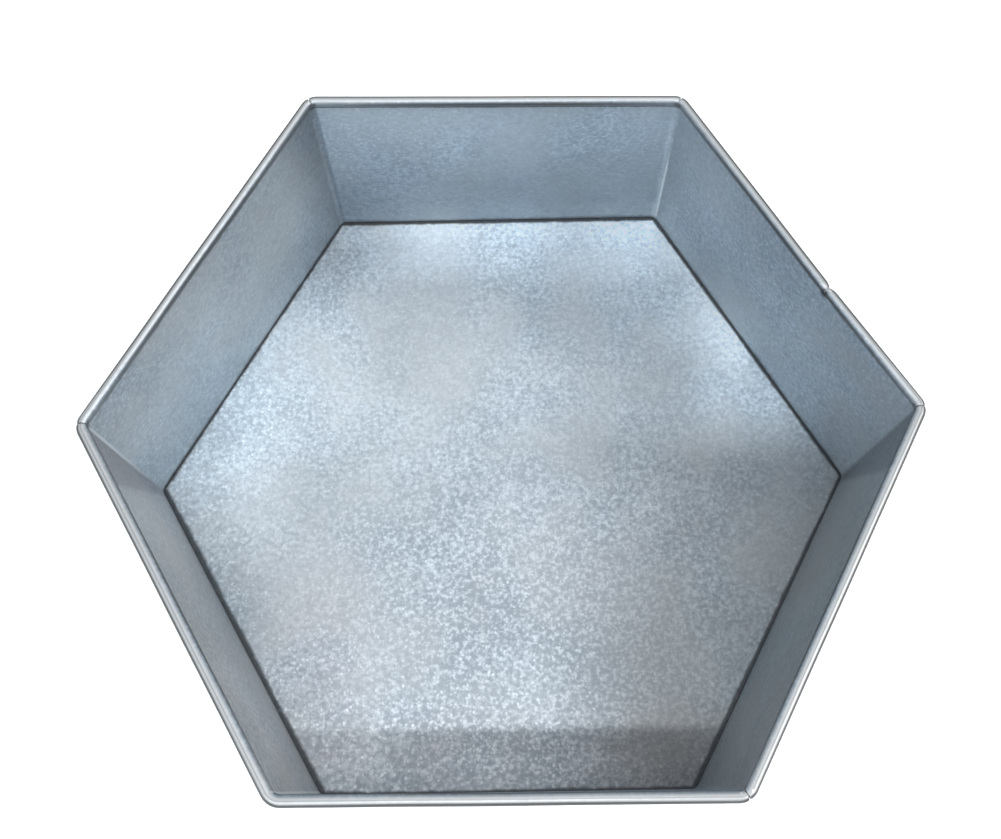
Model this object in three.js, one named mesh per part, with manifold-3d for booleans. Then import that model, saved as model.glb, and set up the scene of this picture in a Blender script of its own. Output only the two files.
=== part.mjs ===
// A hexagonal sheet-metal pan, the tinsmith's way: one galvanised steel strip is bent round into six
// walls, its top edge is rolled outward over a wire, and its bottom edge is turned out into a flange
// that the base sheet is folded around. Millimetres, +Z up, origin on the table under the middle.

import * as THREE from "three";
import { mergeVertices } from "three/addons/utils/BufferGeometryUtils.js";
import Module from "manifold-3d";

// ---- Driving dimensions ----------------------------------------------------------------------

const ACROSS_FLATS = 203.2; // inside, from wall face to wall face
const PAN_HEIGHT = 76.2; // from the table to the top of the rim roll
const SHEET = 0.5; // thickness of the wall strip
const BASE_SHEET = 0.5; // thickness of the base sheet
const BEND_RADIUS = 3.0; // inside radius of the six upright bends
const WIRE_DIAMETER = 1.8; // the wire inside the rim roll
const ROLL_PROUD = 0.45; // how far the rim roll stands into the pan past the wall face
const CREASE_DEPTH = 0.25; // how far the wall is pinched outward, in the crease under the roll
const CREASE_DROP = 0.45; // from where the roll starts down to the bottom of the crease
const NECK_DROP = 1.3; // from where the roll starts down to where the wall is flat
const FLANGE_WIDTH = 2.2; // how far the turned-out bottom edge reaches past the wall's outer face
const FLANGE_RADIUS = 0.7; // inside radius of the bend between wall and flange
const HEM_OVERLAP = 1.3; // how far the base sheet is folded back over the flange
const FIT_GAP = 0.3; // clearance between two pieces that touch
const LAP_WIDTH = 10.0; // the overlap of the strip's two ends, on the outside of one wall
const JOINT_SHARE = 0.64; // where the ends meet, as a share of the back-right wall from its back corner
const ROLL_JOINT_GAP = 1.6; // open gap between the two ends of the rim roll
const WIRE_JOINT_GAP = 2.4; // open gap between the two ends of the wire
const CORNER_NICK = 1.4; // width of the V nicks that let the roll turn the corners, at their mouth
const HEM_SLIT = 0.8; // width of the slits in the folded-back hem, one at each corner
const SOLDER_WIDTH = 3.0; // width of the solder run along the free edge of the lap
const SOLDER_HEIGHT = 0.7; // height of the solder run above the lap

// ---- Worked out from them --------------------------------------------------------------------

const SIDES = 6;
const SIXTH = (2 * Math.PI) / SIDES;
const APOTHEM = ACROSS_FLATS / 2;
const WIRE_RADIUS = WIRE_DIAMETER / 2;
const ROLL_INNER = WIRE_RADIUS + FIT_GAP;
const ROLL_OUTER = ROLL_INNER + SHEET;
const ROLL_OUT = ROLL_OUTER - ROLL_PROUD; // wire centre, outward from the wall face
const ROLL_UP = PAN_HEIGHT - ROLL_OUTER; // wire centre, above the table
const BEND_CENTRE = (APOTHEM - BEND_RADIUS) / Math.cos(SIXTH / 2); // bend centres from the axis
const FLANGE_BOTTOM = BASE_SHEET + FIT_GAP;
const FLANGE_TOP = FLANGE_BOTTOM + SHEET;
const FLANGE_EDGE = SHEET + FLANGE_WIDTH; // outward from the wall face
const HEM_BOTTOM = FLANGE_TOP + FIT_GAP;
const HEM_TOP = HEM_BOTTOM + BASE_SHEET;
const ROLL_START = Math.PI + 0.58; // turn about the wire at which the wall meets the roll
const ROLL_END = -Math.PI * 0.55; // turn at which the rolled edge stops, tucked in behind the wall
const ROLL_START_UP = ROLL_UP + ROLL_OUTER * Math.sin(ROLL_START);
const SIDE_LENGTH = (2 * APOTHEM) / Math.sqrt(3);
const BEND_STEPS = 6; // facets in each upright bend
const ROLL_STEPS = 14; // facets round the rim roll

// Corners lie at 0, 60, 120 ... degrees, so wall w faces out at 30 + 60 w degrees.
const BACK_RIGHT = 0;
const PLAIN_CORNER = 4; // the front-left corner, where the roll turns without a nick

// ---- Helpers ---------------------------------------------------------------------------------

const wasm = await Module();
wasm.setup();

function toSolid(geometry) {
  const bare = geometry.index ? geometry.toNonIndexed() : geometry.clone();
  for (const name of Object.keys(bare.attributes)) {
    if (name !== "position") bare.deleteAttribute(name);
  }
  const merged = mergeVertices(bare, 1e-4);
  return new wasm.Manifold(
    new wasm.Mesh({
      numProp: 3,
      vertProperties: merged.attributes.position.array,
      triVerts: new Uint32Array(merged.index.array),
    }),
  );
}

function toGeometry(solid) {
  const mesh = solid.getMesh();
  const geometry = new THREE.BufferGeometry();
  geometry.setAttribute("position", new THREE.BufferAttribute(mesh.vertProperties, 3));
  geometry.setIndex(new THREE.BufferAttribute(mesh.triVerts, 1));
  geometry.computeVertexNormals();
  return geometry;
}

// A point at angle turn on an arc round [u, z], u measured outward from the wall face.
function onArc(u, z, radius, turn) {
  return [u + radius * Math.cos(turn), z + radius * Math.sin(turn)];
}

// Points along an arc, both ends included.
function arc(u, z, radius, from, to, steps) {
  const points = [];
  for (let step = 0; step <= steps; step += 1) {
    points.push(onArc(u, z, radius, from + ((to - from) * step) / steps));
  }
  return points;
}

// Carries a closed section of [u, z] points round the pan. The section is turned on a lathe round the
// centre of one bend, and the lathe is pulled apart into six sectors, one to each corner. The flat
// walls are what stretches between the sectors. The section runs anticlockwise, u to the right.
function roundThePan(section) {
  const profile = section.map(([u, z]) => new THREE.Vector2(BEND_RADIUS + u, z));
  profile.push(profile[0].clone());
  const perCorner = BEND_STEPS + 1;
  const geometry = new THREE.LatheGeometry(profile, SIDES * perCorner);
  const place = geometry.attributes.position;
  for (let station = 0; station <= SIDES * perCorner; station += 1) {
    const corner = Math.floor(station / perCorner) * SIXTH;
    const facing = corner - SIXTH / 2 + (SIXTH * (station % perCorner)) / BEND_STEPS;
    profile.forEach((point, index) => {
      place.setXYZ(
        station * profile.length + index,
        BEND_CENTRE * Math.cos(corner) + point.x * Math.cos(facing),
        BEND_CENTRE * Math.sin(corner) + point.x * Math.sin(facing),
        point.y,
      );
    });
  }
  return toSolid(geometry);
}

// A flat plate in the pan's rounded hexagon, its edge at u outward from the wall face.
function hexagonPlate(u, bottom, top) {
  const outline = new THREE.Shape();
  for (let corner = 0; corner < SIDES; corner += 1) {
    const turn = corner * SIXTH;
    outline.absarc(
      BEND_CENTRE * Math.cos(turn),
      BEND_CENTRE * Math.sin(turn),
      BEND_RADIUS + u,
      turn - SIXTH / 2,
      turn + SIXTH / 2,
      false,
    );
  }
  outline.closePath();
  const plate = new THREE.ExtrudeGeometry(outline, {
    depth: top - bottom,
    bevelEnabled: false,
    curveSegments: BEND_STEPS,
  });
  return toSolid(plate.translate(0, 0, bottom));
}

// Stands a piece that was made at the middle of a wall facing +X on one of the six walls, moved
// along that wall by shift, anticlockwise seen from above.
function onWall(geometry, wall, shift) {
  geometry.translate(APOTHEM, shift, 0);
  geometry.rotateZ((wall + 0.5) * SIXTH);
  return geometry;
}

// The same for one of the six corners.
function onCorner(geometry, corner) {
  geometry.translate(BEND_CENTRE + BEND_RADIUS, 0, 0);
  geometry.rotateZ(corner * SIXTH);
  return geometry;
}

// A wedge that is width wide at u = outer and runs to a point at u = inner, between two heights.
function wedge(inner, outer, width, bottom, top) {
  const plan = new THREE.Shape();
  plan.moveTo(inner, 0);
  plan.lineTo(outer, -width / 2);
  plan.lineTo(outer, width / 2);
  plan.closePath();
  const solid = new THREE.ExtrudeGeometry(plan, { depth: top - bottom, bevelEnabled: false });
  return solid.translate(0, 0, bottom);
}

function box(uFrom, uTo, width, bottom, top) {
  const solid = new THREE.BoxGeometry(uTo - uFrom, width, top - bottom);
  return solid.translate((uFrom + uTo) / 2, 0, (bottom + top) / 2);
}

// ---- The wall strip --------------------------------------------------------------------------

// Where the strip's two ends meet, along the back-right wall from its middle. The wall's back corner
// is its anticlockwise end.
const JOINT_SHIFT = SIDE_LENGTH * (0.5 - JOINT_SHARE);
const LAP_BOTTOM = FLANGE_TOP + FLANGE_RADIUS + FIT_GAP;
const LAP_TOP = ROLL_START_UP - NECK_DROP;
const ROLL_EDGE = ROLL_OUT + ROLL_OUTER;
const BEHIND_NECK = SHEET + CREASE_DEPTH + FIT_GAP / 2; // just outside the wall under the roll

function wallSection() {
  const bendOut = SHEET + FLANGE_RADIUS;
  const bendUp = FLANGE_TOP + FLANGE_RADIUS;
  return [
    ...arc(bendOut, bendUp, SHEET + FLANGE_RADIUS, Math.PI, Math.PI * 1.5, 4),
    [FLANGE_EDGE, FLANGE_BOTTOM],
    [FLANGE_EDGE, FLANGE_TOP],
    ...arc(bendOut, bendUp, FLANGE_RADIUS, Math.PI * 1.5, Math.PI, 4),
    [SHEET, ROLL_START_UP - NECK_DROP],
    [SHEET + CREASE_DEPTH, ROLL_START_UP - CREASE_DROP],
    ...arc(ROLL_OUT, ROLL_UP, ROLL_INNER, ROLL_START + 0.35, ROLL_END, ROLL_STEPS),
    ...arc(ROLL_OUT, ROLL_UP, ROLL_OUTER, ROLL_END, ROLL_START, ROLL_STEPS),
    [CREASE_DEPTH, ROLL_START_UP - CREASE_DROP],
    [0, ROLL_START_UP - NECK_DROP],
  ];
}

// A gap across the roll, cut with a tool made by shapeOf(inner, outer, bottom, top): the full depth
// of the roll outside the neck, and only its upper part above the neck, so the wall stays whole.
function cutRoll(wall, shapeOf, place) {
  const above = PAN_HEIGHT + 1;
  const upper = place(shapeOf(-ROLL_PROUD - FIT_GAP, ROLL_EDGE + 1, ROLL_UP, above));
  const lower = place(shapeOf(BEHIND_NECK, ROLL_EDGE + 1, ROLL_UP - ROLL_OUTER - 1, above));
  return wall.subtract(toSolid(upper)).subtract(toSolid(lower));
}

function makeWallBand() {
  let wall = roundThePan(wallSection());
  for (let corner = 0; corner < SIDES; corner += 1) {
    if (corner === PLAIN_CORNER) continue;
    wall = cutRoll(
      wall,
      (inner, outer, bottom, top) => wedge(inner, outer, CORNER_NICK, bottom, top),
      (geometry) => onCorner(geometry, corner),
    );
  }
  wall = cutRoll(
    wall,
    (inner, outer, bottom, top) => box(inner, outer, ROLL_JOINT_GAP, bottom, top),
    (geometry) => onWall(geometry, BACK_RIGHT, JOINT_SHIFT),
  );
  const lap = box(SHEET / 2, 2 * SHEET, LAP_WIDTH, LAP_BOTTOM, LAP_TOP);
  return wall.add(toSolid(onWall(lap, BACK_RIGHT, JOINT_SHIFT + LAP_WIDTH / 2)));
}

// ---- The base sheet, folded round the wall's flange ------------------------------------------

function makeBasePlate() {
  const foldRadius = HEM_TOP / 2;
  const hem = [
    [0, 0],
    ...arc(FLANGE_EDGE, foldRadius, foldRadius, -Math.PI / 2, Math.PI / 2, 8),
    [FLANGE_EDGE - HEM_OVERLAP, HEM_TOP],
    [FLANGE_EDGE - HEM_OVERLAP, HEM_BOTTOM],
    ...arc(FLANGE_EDGE, foldRadius, foldRadius - BASE_SHEET, Math.PI / 2, -Math.PI / 2, 8),
    [0, BASE_SHEET],
  ];
  let base = hexagonPlate(FLANGE_EDGE - HEM_OVERLAP, 0, BASE_SHEET).add(roundThePan(hem));
  for (let corner = 0; corner < SIDES; corner += 1) {
    const slit = box(0, FLANGE_EDGE, HEM_SLIT, HEM_BOTTOM - FIT_GAP / 2, HEM_TOP + 1);
    base = base.subtract(toSolid(onCorner(slit, corner)));
  }
  return base;
}

// ---- The wire inside the rim roll ------------------------------------------------------------

function makeRimWire() {
  const section = arc(ROLL_OUT, ROLL_UP, WIRE_RADIUS, 0, 2 * Math.PI, 12).slice(0, -1);
  const gap = box(-ROLL_PROUD, ROLL_EDGE, WIRE_JOINT_GAP, ROLL_UP - ROLL_OUTER, ROLL_UP + ROLL_OUTER);
  return roundThePan(section).subtract(toSolid(onWall(gap, BACK_RIGHT, JOINT_SHIFT)));
}

// ---- The solder along the lap's free edge ----------------------------------------------------

// In plan the run is a low dome that bridges the step from the wall's outer face to the lap.
function makeSideSeamSolder() {
  const half = SOLDER_WIDTH / 2;
  const onWallFace = SHEET + FIT_GAP;
  const onLapFace = 2 * SHEET + FIT_GAP;
  const plan = new THREE.Shape();
  plan.moveTo(onLapFace, -half);
  plan.quadraticCurveTo(onLapFace + 2 * SOLDER_HEIGHT, 0, onWallFace, half);
  plan.lineTo(onWallFace, FIT_GAP);
  plan.lineTo(onLapFace, FIT_GAP);
  plan.closePath();
  const run = new THREE.ExtrudeGeometry(plan, {
    depth: LAP_TOP - LAP_BOTTOM,
    bevelEnabled: false,
    curveSegments: 6,
  });
  run.translate(0, 0, LAP_BOTTOM);
  return toSolid(onWall(run, BACK_RIGHT, JOINT_SHIFT + LAP_WIDTH));
}

// ---- The pan ---------------------------------------------------------------------------------

const galvanised = { metalness: 0.9, roughness: 0.42 };
const wallSteel = new THREE.MeshStandardMaterial({ color: 0x8e9aa6, ...galvanised });
const baseSteel = new THREE.MeshStandardMaterial({ color: 0xb4c0ca, ...galvanised });
const wireSteel = new THREE.MeshStandardMaterial({ color: 0x9a9c9e, metalness: 0.9, roughness: 0.35 });
const solderMetal = new THREE.MeshStandardMaterial({ color: 0xa8a9a6, metalness: 0.8, roughness: 0.5 });

const pan = new THREE.Group();

function addPiece(name, solid, material) {
  const piece = new THREE.Mesh(toGeometry(solid), material);
  piece.name = name;
  pan.add(piece);
}

addPiece("wall_band", makeWallBand(), wallSteel);
addPiece("base_plate", makeBasePlate(), baseSteel);
addPiece("rim_wire", makeRimWire(), wireSteel);
addPiece("side_seam_solder", makeSideSeamSolder(), solderMetal);

export default pan;
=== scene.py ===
# %% [markdown]
# # A hexagonal tin, dressed in zinc
# The engineering model of this tin is already finished: a wall strip, a base sheet, a wire and a run of
# solder. It says how big everything is. This lesson makes the same four pieces again as a tinsmith's
# hands would leave them, with fine round folds, crimped corners and a zinc skin, and puts them under a
# soft light.

# %% Load the finished frame
import bpy
import bmesh
import math
import random
from mathutils import Matrix, Vector


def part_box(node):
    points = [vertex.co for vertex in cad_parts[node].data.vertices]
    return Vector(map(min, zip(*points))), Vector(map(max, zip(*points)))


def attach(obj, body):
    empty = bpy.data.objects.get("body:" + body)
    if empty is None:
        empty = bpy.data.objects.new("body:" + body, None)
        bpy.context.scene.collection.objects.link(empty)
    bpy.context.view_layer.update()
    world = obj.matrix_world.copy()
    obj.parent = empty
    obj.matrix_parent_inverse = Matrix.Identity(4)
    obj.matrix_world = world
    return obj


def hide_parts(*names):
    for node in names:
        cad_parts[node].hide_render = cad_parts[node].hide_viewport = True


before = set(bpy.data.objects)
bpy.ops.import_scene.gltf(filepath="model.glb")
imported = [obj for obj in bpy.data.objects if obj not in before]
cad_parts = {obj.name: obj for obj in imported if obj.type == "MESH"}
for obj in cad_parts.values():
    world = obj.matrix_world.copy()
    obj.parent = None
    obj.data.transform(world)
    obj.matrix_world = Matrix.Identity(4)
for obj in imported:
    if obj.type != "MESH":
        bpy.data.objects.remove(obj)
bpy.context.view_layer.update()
scene = bpy.context.scene
print("nodes:", sorted(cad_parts))

# %% [markdown]
# ## Reading the sizes
# A maker measures the pattern before cutting. Each size that the frame can tell is read from the box of
# one of its pieces, in millimetres, so the two models can't drift apart. Only the sizes of folds that a
# box can't show, such as the sheet's thickness, are written here.

# %% Sizes from the frame
MM = 0.001
SIDES = 6
SIXTH = 2 * math.pi / SIDES

SHEET = 0.5          # thickness of the wall strip and of the base sheet
FIT_GAP = 0.3        # air drawn between folded layers
BEND_RADIUS = 3.0    # inside radius of the six upright bends
ROLL_PROUD = 0.45    # how far the rolled rim stands into the tin past the wall
FLANGE_RADIUS = 0.7  # bend between wall and turned-out edge
HEM_OVERLAP = 1.3    # how far the base sheet is folded back
LAP_WIDTH = 10.0     # overlap of the strip's two ends

wall_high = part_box("wall_band")[1] / MM
base_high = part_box("base_plate")[1] / MM
wire_low, wire_high = [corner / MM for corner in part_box("rim_wire")]
solder_low, solder_high = [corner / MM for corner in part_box("side_seam_solder")]

TOP = wall_high.z
WIRE_RADIUS = (wire_high.z - wire_low.z) / 2
WIRE_UP = (wire_high.z + wire_low.z) / 2
ROLL_RADIUS = TOP - WIRE_UP
APOTHEM = wire_high.y - WIRE_RADIUS - ROLL_RADIUS + ROLL_PROUD
WIRE_OUT = ROLL_RADIUS - ROLL_PROUD
HEM_TOP = base_high.z
HEM_OUT = base_high.y - APOTHEM - HEM_TOP / 2
BEND_CENTRE = (APOTHEM - BEND_RADIUS) / math.cos(SIXTH / 2)
FLAT = 2 * BEND_CENTRE * math.sin(SIXTH / 2)  # length of a wall between its two bends
print(f"across flats {2 * APOTHEM:.1f} mm, height {TOP:.1f} mm, wire {2 * WIRE_RADIUS:.1f} mm")

# %% Where the strip's ends meet
up_the_wall = Vector((-math.sin(SIXTH / 2), math.cos(SIXTH / 2)))
solder_middle = (solder_low + solder_high).xy / 2
LAP_EDGE = solder_middle.dot(up_the_wall) / FLAT + 0.5
JOINT_PLACE = LAP_EDGE - LAP_WIDTH / FLAT
print(f"the ends meet {JOINT_PLACE * FLAT:.1f} mm along the back right wall's {FLAT:.1f} mm")

# %% [markdown]
# ## Hand-made, not perfect
# A tin bent by hand is never a true hexagon. Each corner sits a millimetre or so away from where the
# drawing puts it, more at the rim, where the sheet is free, than at the base, where the seam holds it.
# The rim is also pushed in a little where the roll's two ends meet. Small named offsets like these are
# what stops a model from looking machined from one block.

# %% Where the corners really sit
# Corners run anticlockwise from the right one, seen from above. Wall n runs from corner n to n + 1. Each
# corner's offset is to the right and to the back, in millimetres, at the rim and at the foot.
RIGHT, BACK_RIGHT, BACK_LEFT, LEFT, FRONT_LEFT, FRONT_RIGHT = range(SIDES)
RIM_SET = {
    RIGHT: (-0.3, -0.8), BACK_RIGHT: (-1.7, -0.9), BACK_LEFT: (1.1, 1.1),
    LEFT: (0.0, -1.3), FRONT_LEFT: (-0.6, 0.4), FRONT_RIGHT: (0.8, -0.7),
}
FOOT_SET = {
    RIGHT: (-0.2, -0.2), BACK_RIGHT: (0.0, -0.1), BACK_LEFT: (0.5, -0.1),
    LEFT: (0.2, -0.9), FRONT_LEFT: (-0.4, 0.3), FRONT_RIGHT: (0.4, 0.05),
}
JOINT_WALL = 0       # the back right wall
JOINT_PUSHED_IN = 0.6

# How full the roll is at the start and at the end of each wall: 1 is the drawing's round.
ROLL_FULLNESS = [(0.93, 0.88), (0.84, 0.9), (0.88, 0.9), (1.0, 1.02), (0.98, 0.95), (0.96, 0.97)]


def roll_fullness(station):
    """How full the roll is at a station, changing evenly along each wall and round each bend."""
    kind, number, share = station
    start, end = ROLL_FULLNESS[number]
    if kind == "bend":
        start, end = ROLL_FULLNESS[number - 1][1], ROLL_FULLNESS[number][0]
    return start + (end - start) * share


def share_up(height):
    """How far up the tin a height is, from 0 at the base to 1 at the top."""
    return min(max(height / TOP, 0.0), 1.0)


def bend_centre(corner, height):
    """The centre of one upright bend at a height, with the hand-made offset of that corner."""
    corner = corner % SIDES
    turn = corner * SIXTH
    foot, rim = Vector(FOOT_SET[corner]), Vector(RIM_SET[corner])
    return Vector((math.cos(turn), math.sin(turn))) * BEND_CENTRE + foot.lerp(rim, share_up(height))


def wall_turn(wall, height):
    """The direction a wall faces, from the two bends it runs between."""
    run = bend_centre(wall + 1, height) - bend_centre(wall, height)
    return math.atan2(-run.x, run.y)


def joint_push(share, height):
    """How far the joint wall is pushed in, at a share of its length and a height."""
    reach = share / JOINT_PLACE if share < JOINT_PLACE else (1 - share) / (1 - JOINT_PLACE)
    return JOINT_PUSHED_IN * reach * share_up(height) ** 2


print("corners set by hand:", len(RIM_SET))

# %% [markdown]
# ## Walking round the tin
# Every fold of this tin is one cross-section carried round the same path: along a wall, round a bend,
# along the next wall. A station is a place on that path. `place` turns a station and a point of the
# section, so far out from the wall's inner face and so high, into a point in space. Because one function
# serves the strip, the base and the wire, they nest into each other at every corner.

# %% Stations and the place function
FULL_TURN = 6.2832
WAVE_HEIGHT = 0.035  # millimetres
NEAR_BENDS = (0.3, 0.6, 1.0, 1.6, 2.4, 3.6)  # extra stations close to each bend, in millimetres
random.seed(7)
WAVES = [(random.uniform(0.5, 1.0), random.randint(3, 17), random.uniform(0, 6.28)) for _ in range(7)]


def waviness(station_share, height):
    """A few long waves in the free sheet, in millimetres, dying out towards the base."""
    total = sum(size * math.sin(count * FULL_TURN * station_share + phase) for size, count, phase in WAVES)
    return WAVE_HEIGHT * total * share_up(height)


def place(station, out, height):
    """The point at a station that lies so far out from the wall's inner face and so high."""
    kind, number, share = station
    if kind == "bend":
        before = wall_turn(number - 1, height)
        after = wall_turn(number, height)
        step = (after - before) % (2 * math.pi)
        turn = before + step * share
        centre = bend_centre(number, height)
        spot = centre + Vector((math.cos(turn), math.sin(turn))) * (BEND_RADIUS + out)
    else:
        turn = wall_turn(number, height)
        facing = Vector((math.cos(turn), math.sin(turn)))
        along = bend_centre(number, height).lerp(bend_centre(number + 1, height), share)
        wave = waviness((number + share) / SIDES, height) * math.sin(math.pi * share)
        if number == JOINT_WALL:
            wave -= joint_push(share, height)
        spot = along + facing * (BEND_RADIUS + out + wave)
    return Vector((spot.x, spot.y, height))


def make_stations(flat_steps, bend_steps, joint_detail=()):
    """One lap of stations: each corner's bend, then the wall after it."""
    lap = []
    for number in range(SIDES):
        lap += [("bend", number, step / bend_steps) for step in range(bend_steps + 1)]
        shares = {step / flat_steps for step in range(1, flat_steps)}
        shares |= {mm / FLAT for mm in NEAR_BENDS}
        shares |= {1 - mm / FLAT for mm in NEAR_BENDS}
        if number == JOINT_WALL:
            shares |= {JOINT_PLACE + mm / FLAT for mm in joint_detail}
        lap += [("flat", number, share) for share in sorted(shares)]
    return lap


def arc(out, up, radius, start, end, steps):
    """Points of a section along part of a circle, from one turn to another."""
    turns = [start + (end - start) * step / steps for step in range(steps + 1)]
    return [(out + radius * math.cos(turn), up + radius * math.sin(turn)) for turn in turns]


print("waves in the free sheet:", len(WAVES))

# %% [markdown]
# ## From sections to meshes
# A swept section is a grid of points, joined round in both directions, so it closes on itself like a
# tyre. The helper below builds that grid. A second helper cuts one mesh with others: a notch that is
# truly cut shows a dark gap from every side, which no painted line does.

# %% Mesh helpers
WELD = 0.002 * MM    # points closer than this become one


def face_outward(thing):
    edit = bmesh.new()
    edit.from_mesh(thing.data)
    bmesh.ops.recalc_face_normals(edit, faces=edit.faces)
    if edit.calc_volume(signed=True) < 0:
        bmesh.ops.reverse_faces(edit, faces=edit.faces)
    edit.to_mesh(thing.data)
    edit.free()


def add_solid(name, points, faces):
    """A new object from points in millimetres, with its faces turned outward."""
    mesh = bpy.data.meshes.new(name)
    mesh.from_pydata([tuple(point * MM) for point in points], [], faces)
    thing = bpy.data.objects.new(name, mesh)
    scene.collection.objects.link(thing)
    face_outward(thing)
    return thing


def join_rows(rows, count, first=0, ring=True):
    """Four-sided faces between neighbouring rows of points, with count points to a row."""
    faces = []
    for row in range(rows if ring else rows - 1):
        after = (row + 1) % rows
        for column in range(first, count):
            beside = (column + 1) % count
            faces.append((row * count + column, after * count + column,
                          after * count + beside, row * count + beside))
    return faces


def mesh_from_grid(name, rows, ring=True):
    """A closed skin from rows of points: a ring of rows, or a bar with both ends capped."""
    count = len(rows[0])
    faces = []
    if not ring:
        last = (len(rows) - 1) * count
        faces += [tuple(range(count)), tuple(range(last + count - 1, last - 1, -1))]
    faces += join_rows(len(rows), count, ring=ring)
    return add_solid(name, [point for row in rows for point in row], faces)


def cut_away(thing, cutters, operation="DIFFERENCE"):
    """Subtracts the cutters, or joins them on, and throws them away afterwards."""
    for cutter in cutters:
        step = thing.modifiers.new("cut", "BOOLEAN")
        step.operation = operation
        step.solver = "EXACT"
        step.object = cutter
    graph = bpy.context.evaluated_depsgraph_get()
    cut = bpy.data.meshes.new_from_object(thing.evaluated_get(graph))
    thing.modifiers.clear()
    thing.data = cut
    for cutter in cutters:
        bpy.data.objects.remove(cutter)


def smooth_by_angle(thing, degrees=38):
    """Welds stray points, then shades smooth everywhere but at edges sharper than the angle."""
    edit = bmesh.new()
    edit.from_mesh(thing.data)
    bmesh.ops.remove_doubles(edit, verts=edit.verts, dist=WELD)
    bmesh.ops.dissolve_degenerate(edit, edges=edit.edges, dist=WELD)
    for face in edit.faces:
        face.smooth = True
    for edge in edit.edges:
        edge.smooth = len(edge.link_faces) == 2 and edge.calc_face_angle() < math.radians(degrees)
    edit.to_mesh(thing.data)
    edit.free()


def prism(name, outline, place_point, widths):
    """A cutter: an outline of (out, up) points, as wide along the rim as widths gives for each."""
    points = []
    for side in (-1, 1):
        points += [place_point(out, up, side * width / 2) for (out, up), width in zip(outline, widths)]
    count = len(outline)
    faces = [tuple(range(count)), tuple(range(2 * count - 1, count - 1, -1))]
    faces += [(i, count + i, count + (i + 1) % count, (i + 1) % count) for i in range(count)]
    return add_solid(name, points, faces)


# %% [markdown]
# ## The wall strip
# One strip makes all six walls. Its section starts at the turned-out bottom edge, climbs the wall, is
# pinched in a crease and then wraps the wire. The ends of the roll are drawn in so that they close round
# the wire like a fingertip, both at the joint and at the nicked corners.

# %% The strip's section
ROLL_START = math.pi + 0.58  # angles round the wire's middle, from straight outward
ROLL_INSIDE_START = ROLL_START + 0.35
ROLL_END = -math.pi * 0.42
CREASE_DEPTH = 0.45
CREASE_DROP = 0.5    # how far the crease's deepest line lies below the start of the roll
CREASE_LIP = 0.35    # how far below that line the pinch begins
NECK_DROP = 1.8      # how far below the start of the roll the wall is straight again
FLANGE_BOTTOM = SHEET + FIT_GAP
FLANGE_TOP = FLANGE_BOTTOM + SHEET
ROLL_INSIDE = ROLL_RADIUS - SHEET
ROLL_START_UP = WIRE_UP + ROLL_RADIUS * math.sin(ROLL_START)
JOINT_GAP = 0.6
NICK_GAP = 0.35
ROUNDED = 2.2        # how much of each roll end is drawn in
NICK_ROUNDED = 0.8   # the same beside a nick, where the roll is drawn in less
NICK_SHRINK = 0.45
DRAWN_OUTSIDE = 0.32  # how much smaller a fully drawn-in roll is, outside and inside
DRAWN_INSIDE = 0.1
NICKED = (RIGHT, BACK_RIGHT, BACK_LEFT, LEFT, FRONT_RIGHT)


def roll_shrink(station):
    """How far the roll is drawn in at a station, from 0 to about 1 at a free end."""
    kind, number, share = station
    shrink = 0.0
    if kind == "flat" and number == JOINT_WALL:
        away = abs(share - JOINT_PLACE) * FLAT - JOINT_GAP / 2
        shrink = max(shrink, 1 - max(away, 0.0) / ROUNDED)
    if kind == "bend" and number in NICKED:
        away = abs(share - 0.5) * SIXTH * (BEND_RADIUS + WIRE_OUT) - NICK_GAP / 2
        shrink = max(shrink, NICK_SHRINK * (1 - max(away, 0.0) / NICK_ROUNDED))
    return max(shrink, 0.0) ** 2


def widen(points, fullness):
    """A roll that is fuller or tighter than the drawing, from its inner edge outward."""
    inner_edge = -ROLL_PROUD
    return [(inner_edge + (out - inner_edge) * fullness, up) for out, up in points]


def wall_section(station):
    """The strip's outline at a station: flange, wall, crease and roll, then back down the inside."""
    shrink = roll_shrink(station)
    fullness = roll_fullness(station)
    outer = ROLL_RADIUS * (1 - DRAWN_OUTSIDE * shrink)
    inner = ROLL_INSIDE * (1 - DRAWN_INSIDE * shrink)
    bend_out = SHEET + FLANGE_RADIUS
    bend_up = FLANGE_TOP + FLANGE_RADIUS
    climb = [bend_up + (ROLL_START_UP - NECK_DROP - bend_up) * step / 12 for step in range(1, 12)]
    section = arc(bend_out, bend_up, bend_out, math.pi, math.pi * 1.5, 8)
    section += [(HEM_OUT, FLANGE_BOTTOM), (HEM_OUT, FLANGE_TOP)]
    section += arc(bend_out, bend_up, FLANGE_RADIUS, math.pi * 1.5, math.pi, 8)
    section += [(SHEET, up) for up in climb]
    section += [(SHEET, ROLL_START_UP - NECK_DROP)]
    section += [(SHEET + CREASE_DEPTH * 0.6, ROLL_START_UP - CREASE_DROP - CREASE_LIP)]
    section += [(SHEET + CREASE_DEPTH, ROLL_START_UP - CREASE_DROP)]
    section += widen(arc(WIRE_OUT, WIRE_UP, inner, ROLL_INSIDE_START, ROLL_END, 24), fullness)
    section += widen(arc(WIRE_OUT, WIRE_UP, outer, ROLL_END, ROLL_START, 36), fullness)
    section += [(CREASE_DEPTH, ROLL_START_UP - CREASE_DROP)]
    section += [(CREASE_DEPTH * 0.6, ROLL_START_UP - CREASE_DROP - CREASE_LIP)]
    section += [(0.0, ROLL_START_UP - NECK_DROP)]
    section += [(0.0, up) for up in reversed(climb)]
    return section


print(f"the roll starts {ROLL_START_UP:.1f} mm up and is {2 * ROLL_RADIUS:.1f} mm thick")

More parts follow.
